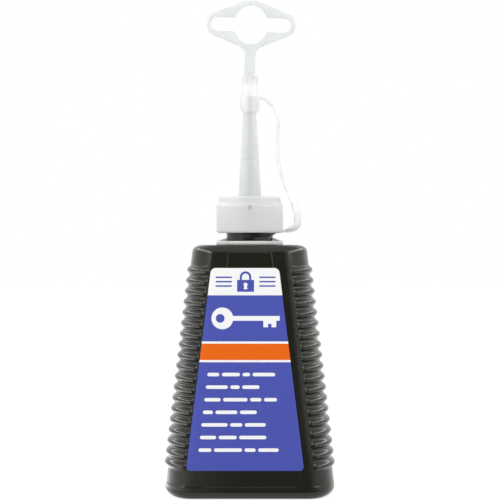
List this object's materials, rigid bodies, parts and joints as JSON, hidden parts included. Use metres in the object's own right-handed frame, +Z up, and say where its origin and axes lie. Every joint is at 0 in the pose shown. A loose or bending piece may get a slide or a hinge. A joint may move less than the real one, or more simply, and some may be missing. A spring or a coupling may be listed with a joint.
{
  "type": "powder lubricant squeeze bottle",
  "caption": "Tapered black squeeze bottle with ribbed sides, screw collar, long conical nozzle, tethered tip cap and hang tag, for puffing dry graphite powder into locks.",
  "frame": {"origin": "middle of the base, on the surface that the bottle stands on", "axes": "+Z up along the neck and nozzle, -Y out of the labelled front panel, +X towards the side that carries the strap"},
  "size_m": [0.0638, 0.0358, 0.1853],
  "materials": {
    "black_polyethylene": "satin, blow moulded",
    "natural_polyethylene": "milky, injection moulded",
    "label_film": "printed film, semi-gloss",
    "graphite_powder": "dull metallic powder"
  },
  "bodies": {
    "bottle": {"bottle": "black_polyethylene", "front_label": "label_film", "graphite_fill": "graphite_powder"},
    "neck_ring": {"neck_ring": "natural_polyethylene"},
    "nozzle": {"nozzle": "natural_polyethylene"},
    "collar": {"screw_collar": "natural_polyethylene", "strap": "natural_polyethylene"},
    "tip_cap": {"tip_cap": "natural_polyethylene", "hang_tag": "natural_polyethylene"}
  },
  "joints": [
    {"name": "ring_turn", "type": "hinge", "parent": "bottle", "child": "neck_ring", "pos_m": [0, 0, 0.0946], "axis": [0, 0, 1], "continuous": true},
    {"name": "closure_lift", "type": "slide", "parent": "bottle", "child": "nozzle", "axis": [0, 0, 1], "range_m": [0, 0.0064]},
    {"name": "collar_turn", "type": "hinge", "parent": "nozzle", "child": "collar", "pos_m": [0, 0, 0.1048], "axis": [0, 0, 1], "range_deg": [0, 720]},
    {"name": "tip_cap_pull", "type": "slide", "parent": "collar", "child": "tip_cap", "axis": [0, 0, 1], "range_m": [0, 0.01], "deforming": ["strap"]}
  ],
  "couplings": [
    {"joint": "closure_lift", "follows": "collar_turn", "m_per_rad": 0.00050532}
  ]
}
